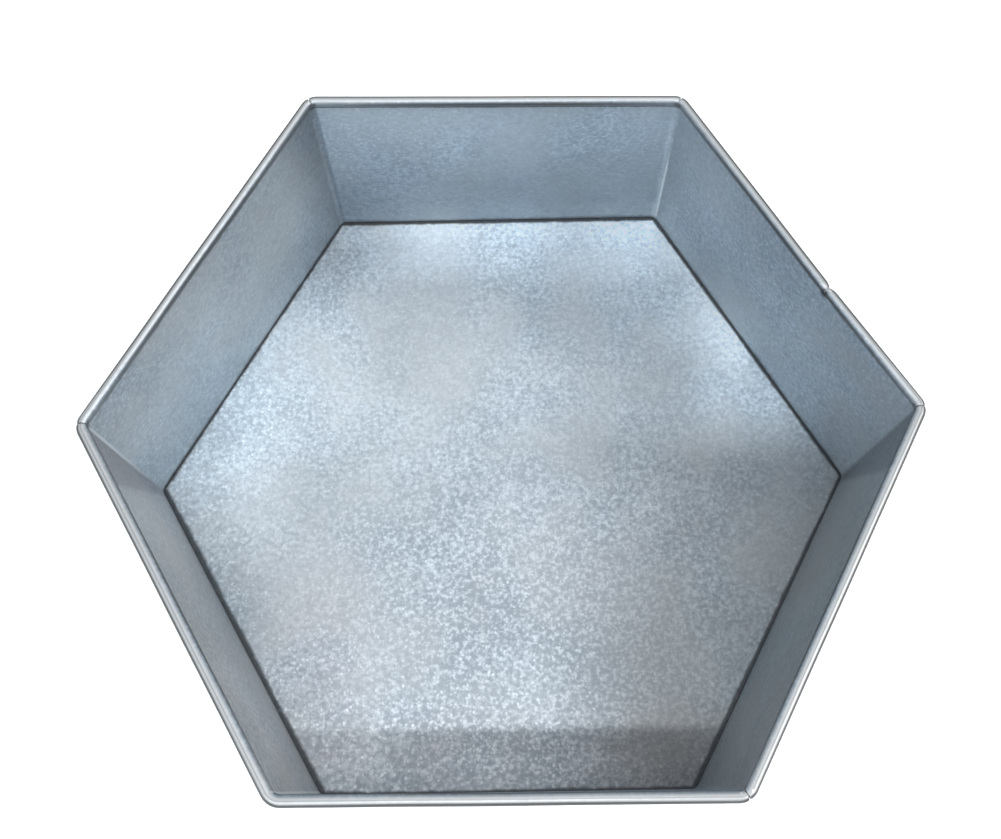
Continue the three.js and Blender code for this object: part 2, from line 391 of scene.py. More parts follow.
# %% Sweep the strip and cut its rim
JOINT_STEPS = [side * mm for side in (-1, 1) for mm in (0.4, 0.7, 1.0, 1.4, 1.8, 2.3, 2.9, 3.6, 5, 7, 9)]
lap = make_stations(24, 14, JOINT_STEPS)
wall = mesh_from_grid("wall_strip", [[place(s, u, z) for u, z in wall_section(s)] for s in lap])

# The cut takes the roll's outer side right through, and its inner side down to a ledge at the wire.
ABOVE = TOP + 1.0
BELOW = WIRE_UP - ROLL_RADIUS - 0.4
LEDGE = WIRE_UP - 0.2
BEYOND = WIRE_OUT + ROLL_RADIUS + 1.0
WALL_BACK = 0.95     # just outside the wall itself
INSIDE = -1.2
CUT_OUTLINE = [(WALL_BACK, BELOW), (BEYOND, BELOW), (BEYOND, ABOVE),
               (INSIDE, ABOVE), (INSIDE, LEDGE), (WALL_BACK, LEDGE)]


def across_corner(number):
    """Places a cutter's point at one corner: out along the corner, up, and sideways by shift."""
    def put(out, up, shift):
        spot = place(("bend", number, 0.5), out, up)
        turn = number * SIXTH
        return spot + Vector((-math.sin(turn), math.cos(turn), 0)) * shift
    return put


def across_joint(out, up, shift):
    """Places a cutter's point at the joint: out from the wall, up, and along the wall by shift."""
    share = JOINT_PLACE + shift / FLAT
    return place(("flat", JOINT_WALL, share), out, up)


cutters = []
for number in NICKED:
    widths = [NICK_GAP if out < 1 else NICK_GAP * 1.5 for out, up in CUT_OUTLINE]
    cutters.append(prism(f"nick_{number}", CUT_OUTLINE, across_corner(number), widths))
cutters.append(prism("joint", CUT_OUTLINE, across_joint, [JOINT_GAP] * len(CUT_OUTLINE)))
cut_away(wall, cutters)
print(f"cut {len(NICKED)} nicks and one joint")

# %% [markdown]
# ## The lap and its solder
# The strip's two ends overlap on the outside of the back right wall. The outer layer is one more thin
# plate that follows the same wall, joined on, and the solder is a bar along its free edge. A solder run
# is never even: it is fat where the iron paused and thin where it hurried, so its width is drawn by chance.

# %% The overlap
LAP_BOTTOM = FLANGE_TOP + FLANGE_RADIUS + FIT_GAP
LAP_TOP = ROLL_START_UP - NECK_DROP
LAP_STEPS = 24
lap_heights = [LAP_BOTTOM + (LAP_TOP - LAP_BOTTOM) * step / LAP_STEPS for step in range(LAP_STEPS + 1)]
lap_shifts = [LAP_WIDTH * step / 8 for step in range(9)]


def on_lap(shift, out, height):
    """A point on the joint wall, so far from where the ends meet."""
    return place(("flat", JOINT_WALL, JOINT_PLACE + shift / FLAT), out, height)


lap_rows = []
for height in lap_heights:
    row = [on_lap(shift, 2 * SHEET, height) for shift in lap_shifts]
    row += [on_lap(shift, SHEET / 2, height) for shift in reversed(lap_shifts)]
    lap_rows.append(row)
outer_end = mesh_from_grid("outer_end", lap_rows, ring=False)
cut_away(wall, [outer_end], "UNION")
smooth_by_angle(wall)
print(f"wall strip: {len(wall.data.polygons)} faces")

# %% The solder run
SOLDER_HALF = 1.35   # half its width
SOLDER_PROUD = 0.6
SOLDER_STEPS = 70
SOLDER_FOOT = 0.15   # how far past the lap's edge its underside reaches
ON_LAP_FACE = 2 * SHEET + 0.05
ON_WALL_FACE = SHEET + 0.05


def solder_section(height, fullness):
    """A low dome over the step from the lap's face down to the wall's."""
    points = []
    for step in range(11):
        turn = math.pi * step / 10
        shift = -SOLDER_HALF * math.cos(turn) * fullness
        seat = ON_LAP_FACE
        if shift >= 0:
            seat = ON_LAP_FACE + (ON_WALL_FACE - ON_LAP_FACE) * shift / SOLDER_HALF
        points.append(on_lap(LAP_WIDTH + shift, seat + SOLDER_PROUD * math.sin(turn) * fullness, height))
    points.append(on_lap(LAP_WIDTH + SOLDER_FOOT, ON_WALL_FACE, height))
    points.append(on_lap(LAP_WIDTH + SOLDER_FOOT, ON_LAP_FACE, height))
    return points


random.seed(23)
beads = [(random.uniform(0, 1), random.uniform(0.03, 0.08), random.uniform(-0.22, 0.2)) for _ in range(16)]
solder_rows = []
for step in range(SOLDER_STEPS + 1):
    share = step / SOLDER_STEPS
    swell = sum(amount * math.exp(-(((share - spot) / reach) ** 2)) for spot, reach, amount in beads)
    taper = min(1.0, 0.35 + 8 * min(share, 1 - share))
    height = LAP_BOTTOM + (LAP_TOP - LAP_BOTTOM) * share
    solder_rows.append(solder_section(height, min(1.1, max(0.6, 0.9 + swell)) * taper))
solder = mesh_from_grid("solder_run", solder_rows, ring=False)
smooth_by_angle(solder)
print(f"solder run: {len(solder.data.polygons)} faces, {LAP_TOP - LAP_BOTTOM:.1f} mm long")

# %% [markdown]
# ## The base sheet
# The base is one flat sheet, folded up and back over the strip's turned-out edge. The sheet's middle is
# a fan of rings, so that it can be given the faint hollows that every thin sheet has: they bend the
# reflections, which is how the eye tells sheet metal from a painted plate.

# %% The base and its folded edge
BASE_RINGS = 30
EDGE_IN = -2.0       # where the fan of rings meets the folded edge
HOLLOW_DEPTH = 0.22
HOLLOW_PACE = (31, 27)  # how slowly the floor rises and falls, across and along


def base_section():
    """The base's outline at a station: the fold round the strip's flange, open towards the middle."""
    fold = HEM_TOP / 2
    section = [(EDGE_IN, SHEET), (EDGE_IN, 0.0)]
    section += arc(HEM_OUT, fold, fold, -math.pi / 2, math.pi / 2, 18)
    section += [(HEM_OUT - HEM_OVERLAP, HEM_TOP), (HEM_OUT - HEM_OVERLAP, HEM_TOP - SHEET)]
    section += arc(HEM_OUT, fold, fold - SHEET, math.pi / 2, -math.pi / 2, 18)
    return section


def hollow(x, y):
    """The floor's faint rise and fall, in millimetres, nothing at the edge."""
    reach = min(1.0, math.hypot(x, y) / APOTHEM)
    fade = 1 - reach ** 4
    return HOLLOW_DEPTH * fade * math.sin(x / HOLLOW_PACE[0] + 0.6) * math.cos(y / HOLLOW_PACE[1] - 0.4)


def make_base():
    lap = make_stations(24, 10)
    section = base_section()
    count = len(section)
    rows = [[place(station, out, up) for out, up in section] for station in lap]
    points = [point for row in rows for point in row]
    faces = join_rows(len(rows), count, first=1)
    for edge_column, height in ((0, SHEET), (1, 0.0)):
        before = [row * count + edge_column for row in range(len(rows))]
        edge_points = [points[index].copy() for index in before]
        for ring in range(1, BASE_RINGS):
            share = 1 - ring / BASE_RINGS
            here = []
            for spot in edge_points:
                x, y = spot.x * share, spot.y * share
                rise = hollow(x, y) if height > 0 else 0.0
                here.append(len(points))
                points.append(Vector((x, y, height + max(rise, -SHEET * 0.5))))
            for i in range(len(here)):
                j = (i + 1) % len(here)
                faces.append((before[i], before[j], here[j], here[i]))
            before = here
        rise = hollow(0, 0) if height > 0 else 0.0
        points.append(Vector((0, 0, height + rise)))
        for i in range(len(before)):
            faces.append((before[i], before[(i + 1) % len(before)], len(points) - 1))
    return add_solid("base_sheet", points, faces)


base = make_base()
HEM_SLIT = 0.8
SLIT_IN = HEM_OUT - HEM_OVERLAP - 0.6
SLIT_OUT = HEM_OUT + 0.6
SLIT_LOW = FLANGE_TOP + FIT_GAP / 2
SLIT_HIGH = HEM_TOP + 1
HEM_OUTLINE = [(SLIT_IN, SLIT_LOW), (SLIT_OUT, SLIT_LOW), (SLIT_OUT, SLIT_HIGH), (SLIT_IN, SLIT_HIGH)]
cut_away(base, [prism(f"slit_{n}", HEM_OUTLINE, across_corner(n), [HEM_SLIT] * 4) for n in range(SIDES)])
smooth_by_angle(base)
print(f"base sheet: {len(base.data.polygons)} faces")

# %% [markdown]
# ## The wire
# A wire inside the rolled rim keeps it straight and blunt. It lies in the middle of the roll all the way
# round, and its two ends meet at the open joint, the only place where it can be seen.

# %% The wire in its roll
WIRE_GAP = 0.12      # between its two ends
WIRE_CUT = 2         # how far the cut between its ends reaches from its middle


def wire_section(station):
    """The wire lies in the middle of its roll, however full the roll is there."""
    middle = widen([(WIRE_OUT, WIRE_UP)], roll_fullness(station))[0][0]
    return arc(middle, WIRE_UP, WIRE_RADIUS, 0, 2 * math.pi, 16)[:-1]


lap = make_stations(10, 8, (-1.2, 1.2))
wire = mesh_from_grid("wire", [[place(s, u, z) for u, z in wire_section(s)] for s in lap])
wire_outline = [(-WIRE_CUT, WIRE_UP - WIRE_CUT), (2 * WIRE_CUT, WIRE_UP - WIRE_CUT),
                (2 * WIRE_CUT, WIRE_UP + WIRE_CUT), (-WIRE_CUT, WIRE_UP + WIRE_CUT)]
cut_away(wire, [prism("wire_gap", wire_outline, across_joint, [WIRE_GAP] * 4)])
smooth_by_angle(wire)
print(f"wire: {len(wire.data.polygons)} faces")

# %% [markdown]
# ## A zinc skin
# Galvanised sheet is steel that was drawn through molten zinc. The zinc froze into grains about a
# millimetre across, and each grain lies at its own small tilt, so it catches the light or misses it. The
# effects that more than one of the four materials shows are built here once, as node groups with plain
# inputs: the grains, the slow clouds, the worn edges, the painted shade in the folds and the rubbing marks.

# %% Helpers for nodes
def add_node(tree, kind, inputs=(), **settings):
    """One node with its settings. An input is a number, a vector, or another node's output to link."""
    made = tree.nodes.new(kind)
    for name, value in settings.items():
        setattr(made, name, value)
    for key, value in dict(inputs).items():
        if isinstance(value, bpy.types.NodeSocket):
            tree.links.new(value, made.inputs[key])
        else:
            made.inputs[key].default_value = value
    return made


def maths(tree, operation, *values, clamp=False):
    inputs = dict(enumerate(values))
    return add_node(tree, "ShaderNodeMath", inputs, operation=operation, use_clamp=clamp).outputs[0]


def vector_maths(tree, operation, *values):
    made = add_node(tree, "ShaderNodeVectorMath", dict(enumerate(values)), operation=operation)
    return made.outputs["Value" if operation in ("DOT_PRODUCT", "LENGTH") else "Vector"]


def times(tree, first, second):
    return maths(tree, "MULTIPLY", first, second)


def less(tree, first, second, **settings):
    return maths(tree, "SUBTRACT", first, second, **settings)


def dot(tree, first, second):
    return vector_maths(tree, "DOT_PRODUCT", first, second)


def scaled(tree, vector, amount):
    inputs = {0: vector, "Scale": amount}
    return add_node(tree, "ShaderNodeVectorMath", inputs, operation="SCALE").outputs[0]


def soft_step(tree, value, low, high, to_low=0.0, to_high=1.0):
    """A smooth climb from one value to another while the input goes from low to high."""
    inputs = {"Value": value, "From Min": low, "From Max": high, "To Min": to_low, "To Max": to_high}
    return add_node(tree, "ShaderNodeMapRange", inputs, interpolation_type="SMOOTHSTEP").outputs["Result"]


def noise(tree, spot, scale, detail):
    return add_node(tree, "ShaderNodeTexNoise", {"Vector": spot, "Scale": scale, "Detail": detail}).outputs


def object_place(tree):
    return add_node(tree, "ShaderNodeTexCoord").outputs["Object"]


def surface_facing(tree):
    return add_node(tree, "ShaderNodeNewGeometry").outputs["Normal"]


def one_axis(tree, vector, axis):
    """The X, Y or Z of a vector."""
    return add_node(tree, "ShaderNodeSeparateXYZ", {0: vector}).outputs[axis]


def blend_colors(tree, factor, first, second, how="MIX"):
    inputs = {0: factor, 6: first, 7: second}
    return add_node(tree, "ShaderNodeMix", inputs, data_type="RGBA", blend_type=how).outputs[2]


def lay_over(tree, color, mask, strength, paint):
    """Lays a paint over the colour, as strongly as the mask says."""
    return blend_colors(tree, times(tree, mask, strength), color, (*paint, 1))


def new_group(name, inputs, outputs):
    """An empty node group with named sockets, what it is given and a way to give its results out."""
    group = bpy.data.node_groups.new(name, "ShaderNodeTree")
    for label, (kind, value) in inputs.items():
        group.interface.new_socket(label, in_out="INPUT", socket_type=kind).default_value = value
    for label, kind in outputs.items():
        group.interface.new_socket(label, in_out="OUTPUT", socket_type=kind)
    given = group.nodes.new("NodeGroupInput").outputs
    end = group.nodes.new("NodeGroupOutput")

    def give(label, result):
        group.links.new(result, end.inputs[label])
    return group, given, give


def use_group(tree, group, **inputs):
    """Places a group in a tree; an input named grain_size fills the socket 'Grain Size'."""
    labelled = {name.replace("_", " ").title(): value for name, value in inputs.items()}
    return add_node(tree, "ShaderNodeGroup", labelled, node_tree=group).outputs


NUMBER = "NodeSocketFloat"
DIRECTION = "NodeSocketVector"
MIDDLE = (0.5, 0.5, 0.5)

# %% [markdown]
# ### Grains
# A Voronoi texture divides space into cells and gives each a random colour. Read as three numbers, that
# colour is a tone, a chance of sparkling and a tilt. The cells' edges are shaken by a little noise first,
# because real grains aren't polygons, and each grain is rounded off towards its edge. The same noise also
# goes into the tone, where it joins neighbouring grains into short worm-like marks.

# %% The zinc grain group
SHAKE_PACE = 0.72     # waves of the noise for each grain
SHAKE_REACH = 0.0012  # how far the noise moves a grain's edge, in metres
SMALL_GRAINS = 2.3    # how many of the finer grains fit across a coarse one
COARSE_SHARE = 0.6    # what the coarse grains, the finer ones and the noise give to the tone
FINE_SHARE = 0.12
WORM_SHARE = 1.9
WORM_BASE = 0.28


def make_zinc_grain():
    group, given, give = new_group(
        "zinc_grain",
        {"Grain Size": (NUMBER, 0.0012), "Tilt": (NUMBER, 0.2)},
        {"Tone": NUMBER, "Sparkle": NUMBER, "Normal": DIRECTION},
    )
    spot = object_place(group)
    grains_per_metre = maths(group, "DIVIDE", 1.0, given["Grain Size"])
    shake = noise(group, spot, times(group, grains_per_metre, SHAKE_PACE), 1.0)
    off = vector_maths(group, "SUBTRACT", shake["Color"], MIDDLE)
    shaken = vector_maths(group, "ADD", spot, scaled(group, off, SHAKE_REACH))
    finer = times(group, grains_per_metre, SMALL_GRAINS)
    cells, small = [
        add_node(group, "ShaderNodeTexVoronoi", {"Vector": shaken, "Scale": scale}).outputs
        for scale in (grains_per_metre, finer)
    ]
    parts, small_parts = [
        add_node(group, "ShaderNodeSeparateColor", {"Color": grains["Color"]}).outputs
        for grains in (cells, small)
    ]
    round_off = soft_step(group, cells["Distance"], 0.15, 0.7, 1.0, 0.0)
    coarse = times(group, times(group, parts[0], round_off), COARSE_SHARE)
    fine = maths(group, "MULTIPLY_ADD", small_parts[0], FINE_SHARE, coarse)
    swing = less(group, shake["Fac"], 0.5)
    worms = maths(group, "MULTIPLY_ADD", swing, WORM_SHARE, WORM_BASE)
    give("Tone", maths(group, "ADD", fine, worms))
    chance = soft_step(group, parts[1], 0.78, 0.98)
    give("Sparkle", times(group, chance, round_off))
    lean = vector_maths(group, "SUBTRACT", cells["Color"], MIDDLE)
    lean = scaled(group, lean, times(group, given["Tilt"], round_off))
    tilted = vector_maths(group, "NORMALIZE", vector_maths(group, "ADD", surface_facing(group), lean))
    give("Normal", tilted)
    return group


zinc_grain = make_zinc_grain()
print("built:", zinc_grain.name)

# %% [markdown]
# ### Clouds
# Over a hand's breadth the zinc drifts in tone and hue, because the bath cooled unevenly. Two slow noise
# textures do it: one for light and dark, one that leans the colour from blue grey to a warmer grey. A
# third, five times finer, smudges the shine.

# %% The cloud group
ELSEWHERE = (0.31, 0.17, 0.05)  # a step aside, so that the second noise doesn't repeat the first


def make_clouds():
    group, given, give = new_group(
        "zinc_clouds",
        {"Cloud Size": (NUMBER, 0.03)},
        {"Cloud": NUMBER, "Warmth": NUMBER, "Smudge": NUMBER},
    )
    spot = object_place(group)
    aside = vector_maths(group, "ADD", spot, ELSEWHERE)
    per_metre = maths(group, "DIVIDE", 1.0, given["Cloud Size"])
    closer = times(group, per_metre, 5.0)
    for label, where, pace, detail, low, high in (
        ("Cloud", spot, per_metre, 3.0, 0.32, 0.68),
        ("Warmth", aside, per_metre, 2.0, 0.35, 0.65),
        ("Smudge", aside, closer, 4.0, 0.5, 0.75),
    ):
        drift = noise(group, where, pace, detail)["Fac"]
        give(label, soft_step(group, drift, low, high))
    return group


zinc_clouds = make_clouds()
print("built:", zinc_clouds.name)

# %% [markdown]
# ### Worn edges and painted fold shade
# Edges are rubbed bright by hands and cloths. Wear follows how sharply the surface turns, which Cycles
# measures as pointiness. The fold shade is painted shade, a darkening where shade falls in folds, gaps and
# at the foot of walls: it is given a distance from a fold and fades as the distance grows, with a ragged
# edge.

# %% The wear and painted fold shade groups
WEAR_SPREAD = 0.08   # how much sharper an edge is where it is worn right through
THINNEST = 0.00005   # the least reach that grime keeps, in metres


def make_edge_wear():
    group, given, give = new_group("edge_wear", {"Sharpness": (NUMBER, 0.56)}, {"Worn": NUMBER})
    turn = add_node(group, "ShaderNodeNewGeometry").outputs["Pointiness"]
    chips = noise(group, object_place(group), 900.0, 2.0)["Fac"]
    ragged = maths(group, "MULTIPLY_ADD", chips, 0.06, turn)
    high = maths(group, "ADD", given["Sharpness"], WEAR_SPREAD)
    inputs = {"Value": ragged, "From Min": given["Sharpness"], "From Max": high}
    worn = add_node(group, "ShaderNodeMapRange", inputs).outputs["Result"]
    give("Worn", worn)
    return group


# painted shade: a darkening that fades with the distance from a fold
def make_fold_shade():
    group, given, give = new_group(
        "fold_shade",
        {"Distance": (NUMBER, 0.0), "Reach": (NUMBER, 0.002), "Blobs": (NUMBER, 0.5)},
        {"Fold Shade": NUMBER},
    )
    spot = object_place(group)
    ragged, slow = [
        less(group, noise(group, spot, scale, detail)["Fac"], 0.5)
        for scale, detail in ((260.0, 3.0), (45.0, 1.0))
    ]
    swing = maths(group, "ADD", ragged, slow)
    wider = maths(group, "MULTIPLY_ADD", swing, given["Blobs"], 1.0)
    wider = maths(group, "MAXIMUM", times(group, wider, given["Reach"]), THINNEST)
    nearness = less(group, 1.0, maths(group, "DIVIDE", given["Distance"], wider), clamp=True)
    give("Fold Shade", soft_step(group, nearness, 0.0, 0.7))
    return group


edge_wear = make_edge_wear()
fold_shade = make_fold_shade()
print("built:", edge_wear.name, fold_shade.name)

# %% [markdown]
# ### Rubbing marks
# Sheet is dragged over benches, so it carries fine parallel scratches. A noise texture squeezed one way
# makes short streaks. They are only a height for a bump, a few hundredths of a millimetre deep.

# %% The rubbing marks group
SQUEEZE = (1.0, 0.06, 0.4)  # how fast the marks change along each axis


def make_rub_marks():
    group, given, give = new_group("rub_marks", {"Streak Width": (NUMBER, 0.0004)}, {"Height": NUMBER})
    per_metre = maths(group, "DIVIDE", 1.0, given["Streak Width"])
    squeezed = vector_maths(group, "MULTIPLY", object_place(group), SQUEEZE)
    give("Height", noise(group, squeezed, per_metre, 2.0)["Fac"])
    return group


rub_marks = make_rub_marks()
print("built:", rub_marks.name)

# %% [markdown]
# ## Four materials from the same groups
# Every material starts with the same zinc: grain tone between a dark and a light grey, drifting in clouds,
# with a few grains painted near white as glints. What differs is added on top. The wall strip has a polished
# rim and painted light and shade: on each wall, in the crease below the rim and at its foot. The base sheet
# has painted pools of light and shade and painted shade round its edge. The solder is duller and rippled,
# and the wire is plain.

# %% The zinc that all four share
METAL_SHARE = 0.6
STREAK_WIDTH = 0.0004
STREAK_DISTANCE = 0.00005
SMOOTH_TILT = 0.03   # the grains' tilt on the rubbed rim
# painted glint: the near-white colour given to a few grains, standing for sparkles of light
PAINTED_GLINT = (0.9, 0.93, 0.96)
WORN_ZINC = (0.75, 0.78, 0.8)
# painted shade for the crease, the open joint and the foot of the walls
CREVICE_SHADE = (0.035, 0.04, 0.045)


def start_zinc(name, light, dark, warm, grain=0.0012, tilt=0.2, cloud_size=0.035, contrast=0.5, sparkle=0.25,
               smooth_above=None):
    """A new material with its zinc colour and the groups' outputs, ready for more layers."""
    material = bpy.data.materials.new(name)
    material.use_nodes = True
    tree = material.node_tree
    shader = tree.nodes["Principled BSDF"]
    shader.inputs["Metallic"].default_value = METAL_SHARE
    if smooth_above is not None:
        height = one_axis(tree, object_place(tree), "Z")
        tilt = soft_step(tree, height, smooth_above * MM, (smooth_above + 0.4) * MM, tilt, SMOOTH_TILT)
    grains = use_group(tree, zinc_grain, grain_size=grain, tilt=tilt)
    clouds = use_group(tree, zinc_clouds, cloud_size=cloud_size)
    centred = less(tree, grains["Tone"], 0.5)
    tone = maths(tree, "MULTIPLY_ADD", centred, contrast, 0.45)
    drift = less(tree, clouds["Cloud"], 0.5)
    tone = maths(tree, "MULTIPLY_ADD", drift, 0.35, tone, clamp=True)
    color = blend_colors(tree, tone, (*dark, 1), (*light, 1))
    color = lay_over(tree, color, clouds["Warmth"], 0.6, warm)
    # painted glints on a few random grains
    color = lay_over(tree, color, grains["Sparkle"], sparkle, PAINTED_GLINT)
    return material, tree, shader, color, grains, clouds


def finish_zinc(tree, shader, color, grains, clouds, roughness, streak_depth=0.15):
    """Links colour, roughness and normal to the shader."""
    marks = use_group(tree, rub_marks, streak_width=STREAK_WIDTH)
    bump = add_node(tree, "ShaderNodeBump", {"Height": marks["Height"], "Normal": grains["Normal"],
                                             "Strength": streak_depth, "Distance": STREAK_DISTANCE})
    rough = maths(tree, "MULTIPLY_ADD", clouds["Smudge"], 0.08, roughness)
    tree.links.new(color, shader.inputs["Base Color"])
    tree.links.new(rough, shader.inputs["Roughness"])
    tree.links.new(bump.outputs["Normal"], shader.inputs["Normal"])


print("shared zinc: metal share", METAL_SHARE)

# %% [markdown]
# ### The wall strip
# Each wall's inner face carries its own painted light and shade, a tint at the foot and one at the rim.
# Beside some corners a painted shade wedge or band darkens the wall, and the left corner's bend carries a
# painted highlight line. Heights tell the other layers apart: the crease lies at one height all round, and
# so does the rim. The crown of the roll is rubbed bright on both sides of a fine painted dark reflection
# line. Its inner flank and its upper outer shoulder get painted shade.

# %% Wall colours
# Each wall's painted light and shade, as a tint at its foot and at its rim, walls counted from the back
# right one.
WALL_LIGHT_AND_SHADE = [
    ((1.0, 1.02, 1.03), (1.08, 1.1, 1.12)),
    ((0.66, 0.7, 0.73), (1.26, 1.3, 1.33)),
    ((1.0, 1.0, 0.98), (1.06, 1.02, 0.98)),
    ((1.44, 1.27, 1.15), (1.44, 1.25, 1.11)),
    ((1.0, 1.0, 1.0), (1.0, 1.0, 1.0)),
    ((1.02, 0.98, 0.92), (0.96, 0.91, 0.84)),
]
BENT_SHADE = 0.25    # how far along a front wall the painted shade wedge spreads, for each step up
# Walls with a painted shade wedge beside one of their corners, which way they run from it, and the wedge's
# tint.
SHADE_WEDGES = {LEFT: (LEFT, 1, (0.72, 0.7, 0.74)), FRONT_RIGHT: (RIGHT, -1, (0.52, 0.54, 0.57))}
SHADED_BEND = 27.0   # width of the painted shade band on the back left wall, beside its far corner
SHADED_TINT = (0.5, 0.53, 0.56)
LEFT_BEND_FACING = (1.0, 0.12, 0.0)  # where the painted highlight line at the left corner faces
LEFT_BEND_HIGHLIGHT = (0.62, 0.64, 0.66)
RUBBED_RIM = (0.37, 0.378, 0.382)
# painted dark reflection line along the crown of the roll
RIDGE_LINE = (0.15, 0.155, 0.16)
# painted shade on the roll's inner flank and upper outer shoulder, starting lower on the front rims
DARK_FLANK = (0.06, 0.065, 0.07)
FOOT_SHADE = (0.12, 0.14, 0.16)


def facing_vector(turn, sense=1):
    """A level direction at a turn, or the one opposite to it."""
    return (sense * math.cos(turn), sense * math.sin(turn), 0.0)


def along_wall(tree, wall, corner, way):
    """How far a point is along a wall from one of its corners, in metres."""
    turn = SIXTH * (wall + 0.5) + way * math.pi / 2
    start = (*(bend_centre(corner, TOP) * MM), 0.0)
    from_corner = vector_maths(tree, "SUBTRACT", object_place(tree), start)
    return dot(tree, from_corner, facing_vector(turn))


def add_wall_light_and_shade(tree, color, facing, height):
    """Paints light and shade on each wall's inner face, with its shade wedges and band, and adds the painted
    highlight line at the left corner.
    """
    for number, (foot, rim) in enumerate(WALL_LIGHT_AND_SHADE):
        inward = facing_vector(SIXTH * (number + 0.5), -1)
        turned_to = dot(tree, facing, inward)
        this_wall = soft_step(tree, turned_to, 0.8, 0.97)
        tint = blend_colors(tree, soft_step(tree, height, 12 * MM, 72 * MM), (*foot, 1), (*rim, 1))
        color = blend_colors(tree, this_wall, color, tint, how="MULTIPLY")
        if number in SHADE_WEDGES:
            corner, way, wedge_shade = SHADE_WEDGES[number]
            along = along_wall(tree, number, corner, way)
            past = less(tree, along, times(tree, height, BENT_SHADE))
            wedge = times(tree, this_wall, soft_step(tree, past, -1.5 * MM, 1.5 * MM, 0.8, 0.0))
            # painted shade wedge beside the corner
            color = blend_colors(tree, wedge, color, (*wedge_shade, 1), how="MULTIPLY")
        if number == BACK_LEFT:
            along = along_wall(tree, BACK_LEFT, BACK_LEFT, 1)
            near_bend = soft_step(tree, along, 0.0, SHADED_BEND * MM, 1.0, 0.0)
            beside = times(tree, near_bend, soft_step(tree, turned_to, 0.45, 0.75))
            # painted shade band beside the bend
            color = blend_colors(tree, beside, color, (*SHADED_TINT, 1), how="MULTIPLY")
    # painted highlight along the left corner's bend
    turned_to = dot(tree, facing, LEFT_BEND_FACING)
    on_bend = soft_step(tree, turned_to, 0.975, 1.0)
    bright = times(tree, on_bend, soft_step(tree, height, 8 * MM, 60 * MM))
    return lay_over(tree, color, bright, 0.7, LEFT_BEND_HIGHLIGHT)


print("walls tinted:", len(WALL_LIGHT_AND_SHADE))

# %% Wall material
def rim_masks(tree, facing, height):
    """The rubbed crown of the roll, the painted dark reflection line along it, and its flanks with painted
    shade.
    """
    level_place = vector_maths(tree, "MULTIPLY", object_place(tree), (1.0, 1.0, 0.0))
    away = vector_maths(tree, "NORMALIZE", level_place)
    outward = dot(tree, facing, away)
    on_rim = soft_step(tree, height, ROLL_START_UP * MM, (ROLL_START_UP + 0.3) * MM)
    begins = soft_step(tree, one_axis(tree, object_place(tree), "Y"), -30 * MM, 30 * MM, 0.34, 0.04)
    turned_out = soft_step(tree, outward, begins, maths(tree, "ADD", begins, 0.34))
    high_up = soft_step(tree, height, (WIRE_UP + 0.1) * MM, (WIRE_UP + 0.7) * MM)
    shoulder = times(tree, turned_out, high_up)
    flanks = maths(tree, "ADD", shoulder, soft_step(tree, outward, -1.0, -0.72, 1.0, 0.0))
    inner_side = soft_step(tree, outward, -0.2, -0.02)
    ridge = times(tree, inner_side, soft_step(tree, outward, 0.04, 0.2, 1.0, 0.0))
    crown = soft_step(tree, outward, -0.9, -0.2)
    return [times(tree, on_rim, mask) for mask in (crown, ridge, flanks)]


def make_wall_steel():
    material, tree, shader, color, grains, clouds = start_zinc(
        "wall_steel", light=(0.37, 0.44, 0.51), dark=(0.22, 0.27, 0.32), warm=(0.31, 0.345, 0.375),
        grain=0.0011, tilt=0.36, contrast=0.9, sparkle=0.12, smooth_above=ROLL_START_UP)
    height = one_axis(tree, object_place(tree), "Z")
    facing = surface_facing(tree)
    # painted shade in the crease below the rim, at the wall's foot and round the open joint
    crease_up = (ROLL_START_UP - CREASE_DROP) * MM
    from_crease = maths(tree, "ABSOLUTE", less(tree, height, crease_up))
    crease = use_group(tree, fold_shade, distance=from_crease, reach=0.85 * MM, blobs=0.5)
    foot = use_group(tree, fold_shade, distance=height, reach=4.0 * MM, blobs=0.8)
    joint_spot = tuple(on_lap(0, 0.0, ROLL_START_UP) * MM)
    from_joint = vector_maths(tree, "LENGTH", vector_maths(tree, "SUBTRACT", object_place(tree), joint_spot))
    joint = use_group(tree, fold_shade, distance=from_joint, reach=3.0 * MM, blobs=0.6)
    worn = use_group(tree, edge_wear, sharpness=0.56)
    crown, ridge, flanks = rim_masks(tree, facing, height)
    color = add_wall_light_and_shade(tree, color, facing, height)
    # the ridge is a painted dark reflection; flanks, crease, foot and joint get painted shade; the worn
    # edges are wear
    for mask, strength, paint in (
        (crown, 0.8, RUBBED_RIM),
        (ridge, 0.6, RIDGE_LINE),
        (flanks, 0.92, DARK_FLANK),
        (worn["Worn"], 0.5, WORN_ZINC),
        (crease["Fold Shade"], 0.9, CREVICE_SHADE),
        (foot["Fold Shade"], 0.85, CREVICE_SHADE),
        (joint["Fold Shade"], 0.8, CREVICE_SHADE),
    ):
        color = lay_over(tree, color, mask, strength, paint)
    # painted shade, darker towards the foot
    painted_foot_shade = soft_step(tree, height, 0.0, 45 * MM, 0.3, 0.0)
    color = blend_colors(tree, painted_foot_shade, color, (*FOOT_SHADE, 1))
    finish_zinc(tree, shader, color, grains, clouds, roughness=0.46)
    return material


wall_steel = make_wall_steel()
print("material:", wall_steel.name)
